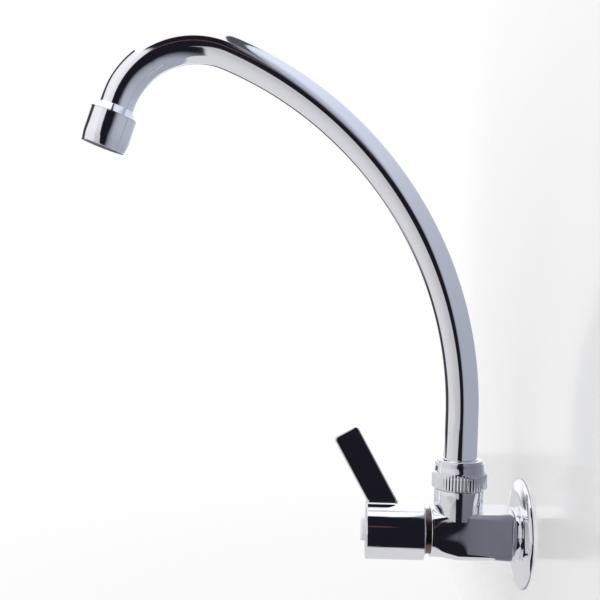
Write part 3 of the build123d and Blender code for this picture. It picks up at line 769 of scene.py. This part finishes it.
spoutSees = {
    "flagDark": 0.95,
    "seamDark": 0.93,
    "floorLight": 1.04,
    "floorFall": 0.24,
    "floorFade": (-0.1, 1.0),
    "floorEdge": [(-0.8, -0.19), (0.0, -0.19), (0.05, -0.23), (0.1, -0.3), (0.3, -0.315), (1.0, -0.42)],
    "floorSoft": 0.012,
    "byWallLight": 0.56,
    "byWallEdge": [(-0.25, 0.2), (-0.15, 0.42), (-0.05, 0.62)],
    "byWallFade": (-0.5, 0.15),
    "floorFlagX": (-0.42, -0.28),
    "floorFlagY": (-0.64, -0.54),
    "wallLight": [(-0.1, 0.56), (0.1, 0.6), (0.2, 0.74), (0.3, 0.95), (0.5, 1.18), (0.7, 1.25), (1.2, 1.2)],
    "wallEdge": [(-0.1, 0.62), (0.1, 0.56), (0.2, 0.4), (0.3, 0.62), (0.5, 0.9), (0.8, 1.3), (1.2, 1.5)],
    "wallEdgeFade": (-0.24, 0.16),
    "wallFall": 0.42,
    "wallFade": (0.1, 0.5),
    "wallSeam": (1.05, 1.1),
    "frontEdge": [(-0.1, -0.34), (0.0, -0.42), (0.15, -0.45), (0.7, -0.54), (0.9, -0.66), (1.2, -0.87)],
    "frontLight": [(-0.1, 0.76), (0.3, 1.0), (0.5, 1.2), (1.2, 1.32)],
    "frontSoft": 0.03,
    "sideLight": 0.46,
    "sideFadeY": (-0.19, -0.02),
    "sideFadeZ": (0.3, 0.6),
    "emberBand": (0.62, 0.72, 0.02),
    "emberStart": 0.05,
    "emberEnd": (-0.2, -0.12),
    "coolFade": (0.2, 0.3),
    "roofLight": 1.6,
    "roofGap": (0.55, 0.72),
    "roofGapEnd": (0.86, 0.94),
    "roofGapShare": 0.9,
    "roofSeam": (-0.09, -0.07),
    "roofSeamLight": 0.4,
    "leftLight": [(-0.1, 1.04), (0.2, 1.22), (0.5, 1.35), (1.2, 1.45)],
    "leftEdge": [(-0.1, -0.36), (0.1, -0.3), (0.3, -0.14), (0.6, 0.0), (0.8, -0.18), (1.2, -0.12)],
    "leftFade": (-0.07, 0.03),
    "leftWindowX": (-0.62, -0.5),
    "leftWindowZ": (0.45, 0.72, 0.05),
    "backLight": 1.5,
    "backDip": 0.6,
    "backDipBand": (0.12, 0.3, 0.04),
    "backEdge": [(-0.1, -0.48), (0.0, -0.4), (0.12, -0.3), (0.24, -0.22), (0.3, -0.2)],
    "backSoft": 0.03,
    "backTop": (0.26, 0.34),
}


# each face gives the light, the share of cool colour and the share of the red-brown strip

def spoutFloor(x, y, see=spoutSees):
    pale = see["floorLight"] - see["floorFall"] * rise(x, *see["floorFade"])
    wallEdge = between(y, see["byWallEdge"])
    byWall = see["byWallLight"] * fall(x, *[wallEdge + part for part in see["byWallFade"]])
    beyond = past(y, between(x, see["floorEdge"]), see["floorSoft"])
    flag = fall(x, *see["floorFlagX"]) * fall(y, *see["floorFlagY"])
    return pale * (1 - beyond) * (1 - see["flagDark"] * flag) + byWall * beyond, beyond, 0.0


def spoutWall(x, z, see=spoutSees):
    edge = between(z, see["wallEdge"])
    light = between(z, see["wallLight"]) * (1 - see["wallFall"] * rise(x, *see["wallFade"]))
    light *= fall(x, *[edge + part for part in see["wallEdgeFade"]])
    return light * (1 - see["seamDark"] * rise(z, *see["wallSeam"])), 1.0, 0.0


def spoutFront(y, z, see=spoutSees):
    edge = between(z, see["frontEdge"])
    left = between(z, see["frontLight"]) * (1 - past(y, edge, see["frontSoft"]))
    right = see["sideLight"] * rise(y, *see["sideFadeY"]) * rise(z, *see["sideFadeZ"])
    ember = inside(z, *see["emberBand"]) * rise(y, edge, edge + see["emberStart"])
    ember *= fall(y, *see["emberEnd"])
    return left + right, fall(-y, *see["coolFade"]), ember


def spoutRoof(x, y, see=spoutSees):
    gap = rise(x, *see["roofGap"]) * (1 - see["roofGapShare"] * rise(-y, *see["roofGapEnd"]))
    seam = rise(y, *see["roofSeam"])
    light = see["roofLight"] * (1 - gap) * (1 - see["seamDark"] * seam)
    return light + see["roofSeamLight"] * gap * seam, 0.0, 0.0


def spoutLeft(x, z, see=spoutSees):
    edge = between(z, see["leftEdge"])
    flag = fall(x, *[edge + part for part in see["leftFade"]])
    flag *= 1 - fall(x, *see["leftWindowX"]) * inside(z, *see["leftWindowZ"])
    return between(z, see["leftLight"]) * (1 - see["flagDark"] * flag), 0.0, 0.0


def spoutBack(y, z, see=spoutSees):
    light = see["backLight"] - see["backDip"] * inside(z, *see["backDipBand"])
    flag = (1 - past(y, between(z, see["backEdge"]), see["backSoft"])) * fall(z, *see["backTop"])
    return light * (1 - see["seamDark"] * flag), 0.0, 0.0


# what the body and the handle mirror

bodySees = {
    "floorLight": 1.0,
    "floorDip": 0.22,
    "floorDipBand": (-0.37, -0.2, 0.03),
    "floorFall": 0.2,
    "floorFade": (0.3, 0.6),
    "floorEdge": [(-0.8, 0.1), (0.05, 0.03), (0.09, -0.12), (0.4, -0.18), (0.7, -0.3), (1.0, -0.4)],
    "floorSoft": 0.015,
    "wallBright": 1.35,
    "wallFall": 0.4,
    "wallFade": (-0.04, 0.02),
    "lowLight": [(-0.05, 1.1), (0.0, 0.3), (0.03, 0.22), (0.12, 0.25), (0.2, 0.22)],
    "lowFade": (0.2, 0.28),
    "lowRise": [(-0.1, 0.9), (-0.02, 0.92), (0.05, 1.35), (0.1, 1.6)],
    "lowStart": (-0.06, 0.0),
    "highEdge": [(-0.8, 0.0), (-0.02, 0.1), (0.03, 0.5), (0.2, 0.62), (0.27, 0.7), (0.35, 0.86),
                 (0.5, 1.15), (0.6, 1.3)],
    "highSoft": 0.05,
    "frontEdge": [(-0.1, -0.17), (0.1, -0.21), (0.3, -0.29), (0.5, -0.37), (0.7, -0.43), (0.9, -0.55),
                  (1.2, -0.7)],
    "frontLight": 0.7,
    "frontRise": 0.32,
    "frontFade": (0.25, 0.75),
    "frontSoft": 0.02,
    "emberBand": (0.46, 0.53, 0.015),
    "emberStart": 0.05,
    "roofLight": 1.6,
    "roofEdge": [(-1.0, 0.72), (-0.6, 0.45), (-0.4, 0.4), (-0.2, 0.48), (0.0, 0.48)],
    "roofSoft": 0.05,
    "leftLight": 1.12,
    "leftFall": 0.14,
    "leftFade": (0.1, 0.4),
    "leftEndDark": 0.6,
    "leftEnd": (-0.75, -0.55),
    "backLight": 1.5,
    "backDark": 0.9,
    "backFadeY": (-0.5, -0.3),
    "backFadeZ": (0.0, 0.1),
}


def bodyFloor(x, y, see=bodySees):
    pale = see["floorLight"] - see["floorDip"] * inside(y, *see["floorDipBand"])
    pale -= see["floorFall"] * rise(x, *see["floorFade"])
    return pale * (1 - past(y, between(x, see["floorEdge"]), see["floorSoft"])), 0.0, 0.0


def bodyWall(x, z, see=bodySees):
    bright = see["wallBright"] - see["wallFall"] * rise(x, *see["wallFade"])
    low = between(x, see["lowLight"]) * fall(x, *see["lowFade"]) * between(z, see["lowRise"])
    start = rise(x, *see["lowStart"])
    high = past(z, between(x, see["highEdge"]), see["highSoft"])
    light = (bright * (1 - start) + low * start) * (1 - high) + see["roofLight"] * high
    return light, (1 - high) * rise(x, *see["wallFade"]), 0.0


def bodyFront(y, z, see=bodySees):
    edge = between(z, see["frontEdge"])
    pale = see["frontLight"] + see["frontRise"] * rise(-y, *see["frontFade"])
    ember = inside(z, *see["emberBand"]) * rise(y, edge, edge + see["emberStart"])
    return pale * (1 - past(y, edge, see["frontSoft"])), 0.0, ember


def bodyRoof(x, y, see=bodySees):
    return see["roofLight"] * (1 - past(x, between(y, see["roofEdge"]), see["roofSoft"])), 0.0, 0.0


def bodyLeft(x, z, see=bodySees):
    light = see["leftLight"] - see["leftFall"] * rise(z, *see["leftFade"])
    return light * (1 - see["leftEndDark"] * fall(x, *see["leftEnd"])), 0.0, 0.0


def bodyBack(y, z, see=bodySees):
    dark = see["backDark"] * fall(y, *see["backFadeY"]) * fall(z, *see["backFadeZ"])
    return see["backLight"] * (1 - dark), 0.0, 0.0


roomFaces = [
    # which axis stands still, at which end, and the two axes that run
    ("floor", 2, "roomLow", 0, 1),
    ("wall", 1, "roomHigh", 0, 2),
    ("front", 0, "roomHigh", 1, 2),
    ("roof", 2, "roomHigh", 0, 1),
    ("left", 1, "roomLow", 0, 2),
    ("back", 0, "roomLow", 1, 2),
]


def stations(axis):
    low, high = studio["roomLow"][axis], studio["roomHigh"][axis]
    count = max(2, round((high - low) / studio["roomStep"]))
    return [low + (high - low) * i / count for i in range(count + 1)]


def cardColour(light, coolness, ember):
    parts = zip(studio["warm"], studio["cool"], studio["gap"], studio["ember"])
    return [studio["level"] * (light * (warm + (cool - warm) * coolness) + gap + ember * red)
            for warm, cool, gap, red in parts]


def place(piece):
    bpy.context.scene.collection.objects.link(piece)
    return piece


def mirrorRoom(name, lights, veil, scale):
    # a box that only mirror rays see; a veil lets the rays of other pieces through
    middle = (Vector(studio["roomLow"]) + Vector(studio["roomHigh"])) / 2
    points, faces, shades = [], [], []
    for face, still, end, first, second in roomFaces:
        across, up = stations(first), stations(second)
        start, rows = len(points), len(up)
        for u in across:
            for v in up:
                point = [0.0, 0.0, 0.0]
                point[still], point[first], point[second] = studio[end][still], u, v
                points.append(middle + (Vector(point) - middle) * scale)
                shades.append(cardColour(*lights[face](u, v)))
        faces += [(start + i * rows + j, start + (i + 1) * rows + j,
                   start + (i + 1) * rows + j + 1, start + i * rows + j + 1)
                  for i in range(len(across) - 1) for j in range(rows - 1)]
    mesh = bpy.data.meshes.new(name)
    mesh.from_pydata(points, [], faces)
    glow = mesh.color_attributes.new("glow", "FLOAT_COLOR", "POINT")
    for dot, shade in zip(glow.data, shades):
        dot.color = (*shade, 1.0)
    finish = Finish(name)
    colour = finish.add("ShaderNodeAttribute", {"attribute_name": "glow"}, result="Color")
    paint = finish.add("ShaderNodeEmission", None, {"Color": colour})
    if veil:
        clear = finish.add("ShaderNodeBsdfTransparent")
        paint = finish.add("ShaderNodeAddShader", None, {0: paint, 1: clear})
    mesh.materials.append(finish.show(paint))
    piece = bpy.data.objects.new(name, mesh)
    for ray in ("camera", "diffuse", "transmission", "shadow"):
        setattr(piece, "visible_" + ray, False)
    return place(piece)


def litFor(room, pieces, state):
    # the room lights these pieces only, or all but these
    group = bpy.data.collections.new(room.name + "Pieces")
    for piece in pieces:
        group.objects.link(piece)
    for entry in group.collection_objects:
        entry.light_linking.link_state = state
    room.light_linking.receiver_collection = group


spoutFaces = {"floor": spoutFloor, "wall": spoutWall, "front": spoutFront,
              "roof": spoutRoof, "left": spoutLeft, "back": spoutBack}
bodyFaces = {"floor": bodyFloor, "wall": bodyWall, "front": bodyFront,
             "roof": bodyRoof, "left": bodyLeft, "back": bodyBack}
spoutPieces = [tubePiece, conePiece, housingPiece]
litFor(mirrorRoom("spoutRoom", spoutFaces, True, 0.999), spoutPieces, "INCLUDE")
litFor(mirrorRoom("bodyRoom", bodyFaces, False, 1.001), spoutPieces, "EXCLUDE")


def paleSheet(name, corners, shade, shine, whiten, fades=()):
    # floor or wall: partly its own lit colour, with shadows, and partly plain white to the eye
    finish = Finish(name)
    eye = finish.add("ShaderNodeLightPath", result="Is Camera Ray")
    lit = finish.add("ShaderNodeBsdfPrincipled", None, {
        "Base Color": grey(shade), "Roughness": studio["sheetRough"], "Specular IOR Level": shine})
    white = finish.add("ShaderNodeEmission", None, {"Color": grey(1.0)})
    paint = finish.mixed(eye * whiten(finish), lit, white)
    for share in fades:
        paint = finish.mixed(share(finish, eye), paint, finish.add("ShaderNodeBsdfTransparent"))
    mesh = bpy.data.meshes.new(name)
    mesh.from_pydata(corners, [], [(0, 1, 2, 3)])
    mesh.materials.append(finish.show(paint))
    piece = bpy.data.objects.new(name, mesh)
    piece.visible_glossy = False
    return place(piece)


def floorWhite(finish):
    # the floor turns plain white away from the tap
    away = finish.add("ShaderNodeVectorMath", {"operation": "LENGTH"}, {0: finish.where()}, "Value")
    return finish.rise(away, *studio["floorWhite"]) * (1 - studio["floorGlow"]) + studio["floorGlow"]


def wallWhite(finish):
    return studio["wallGlow"]


def fromBehind(finish, eye):
    # the back of the wall is open to the eye
    return eye * finish.add("ShaderNodeNewGeometry", result="Backfacing")


def leftEdge(finish, eye):
    return eye * (1 - finish.rise(finish.along("X"), studio["wallReach"][0], studio["wallFadeLeft"]))


def topEdge(finish, eye):
    return eye * finish.rise(finish.along("Z"), studio["wallFadeTop"], studio["wallTop"])


def lowEdge(finish, eye):
    return eye * (1 - finish.rise(finish.along("Z"), studio["floorHeight"], studio["wallFadeLow"]))


def floorAndWall(look):
    half, level = look["floorSize"] / 2, look["floorHeight"]
    corners = [(-half, -half, level), (half, -half, level), (half, half, level), (-half, half, level)]
    paleSheet("floor", corners, look["floorShade"], look["floorShine"], floorWhite)
    left, right = look["wallReach"]
    out, low, high = look["wallAt"], level - look["wallSunk"], look["wallTop"]
    corners = [(left, out, low), (right, out, low), (right, out, high), (left, out, high)]
    fades = (fromBehind, leftEdge, topEdge, lowEdge)
    paleSheet("wall", corners, look["wallShade"], look["wallShine"], wallWhite, fades)


floorAndWall(studio)


def sky(look):
    # white to the eye and in mirrors, softer as light
    finish = Finish("softRoom", bpy.data.worlds, "ShaderNodeOutputWorld")
    seen = finish.add("ShaderNodeLightPath", result="Is Camera Ray")
    for ray in ("Is Glossy Ray", "Is Transmission Ray"):
        other = finish.add("ShaderNodeLightPath", result=ray)
        seen = finish.add("ShaderNodeMath", {"operation": "MAXIMUM"}, {0: seen, 1: other})
    light, plain = [finish.add("ShaderNodeBackground", None, {"Color": grey(1.0), "Strength": strength})
                    for strength in (look["skyForLight"], 1.0)]
    bpy.context.scene.world = finish.show(finish.mixed(seen, light, plain))


sky(studio)

lampLook = {"power": 7.0, "size": 0.9, "place": (0.7, -0.9, 1.3), "aim": (0.0, -0.1, 0.1)}


def softLamp(look):
    lamp = bpy.data.lights.new("softLamp", "AREA")
    lamp.energy = look["power"]
    lamp.size = look["size"]
    piece = bpy.data.objects.new("softLamp", lamp)
    piece.location = look["place"]
    piece.rotation_mode = "QUATERNION"
    piece.rotation_quaternion = (piece.location - Vector(look["aim"])).to_track_quat("Z", "Y")
    piece.visible_glossy = False
    bpy.context.scene.collection.objects.link(piece)


softLamp(lampLook)


# camera: beside the tap, a little above the body

view = {
    "place": (0.4406, -0.0988, 0.1228),
    "yaw": -0.0052,            # radians, turned towards the wall
    "pitch": -0.0576,          # below level
    "roll": 0.026,
    "focalPixels": 820.0,
    "middlePixel": (340.0, 350.0),
    "picturePixels": 600.0,
    "sensor": 36.0,
    "nearClip": 0.01,
}


def camera(view):
    yaw, pitch, roll = view["yaw"], view["pitch"], view["roll"]
    forward = Vector((-math.cos(yaw) * math.cos(pitch), math.sin(yaw) * math.cos(pitch), math.sin(pitch)))
    right = Vector((math.sin(yaw), math.cos(yaw), 0.0))
    up = right.cross(forward)
    side = right * math.cos(roll) + up * math.sin(roll)
    top = up * math.cos(roll) - right * math.sin(roll)
    lens = bpy.data.cameras.new("camera")
    lens.sensor_width = view["sensor"]
    lens.lens = view["focalPixels"] * view["sensor"] / view["picturePixels"]
    across, down = view["middlePixel"]
    lens.shift_x = (view["picturePixels"] / 2 - across) / view["picturePixels"]
    lens.shift_y = (down - view["picturePixels"] / 2) / view["picturePixels"]
    lens.clip_start = view["nearClip"]
    piece = bpy.data.objects.new("camera", lens)
    turn = Matrix((side, top, -forward)).transposed()
    piece.matrix_world = Matrix.Translation(view["place"]) @ turn.to_4x4()
    bpy.context.scene.collection.objects.link(piece)
    bpy.context.scene.camera = piece


camera(view)
bpy.context.scene.view_settings.view_transform = "Standard"
print("studio and camera set")
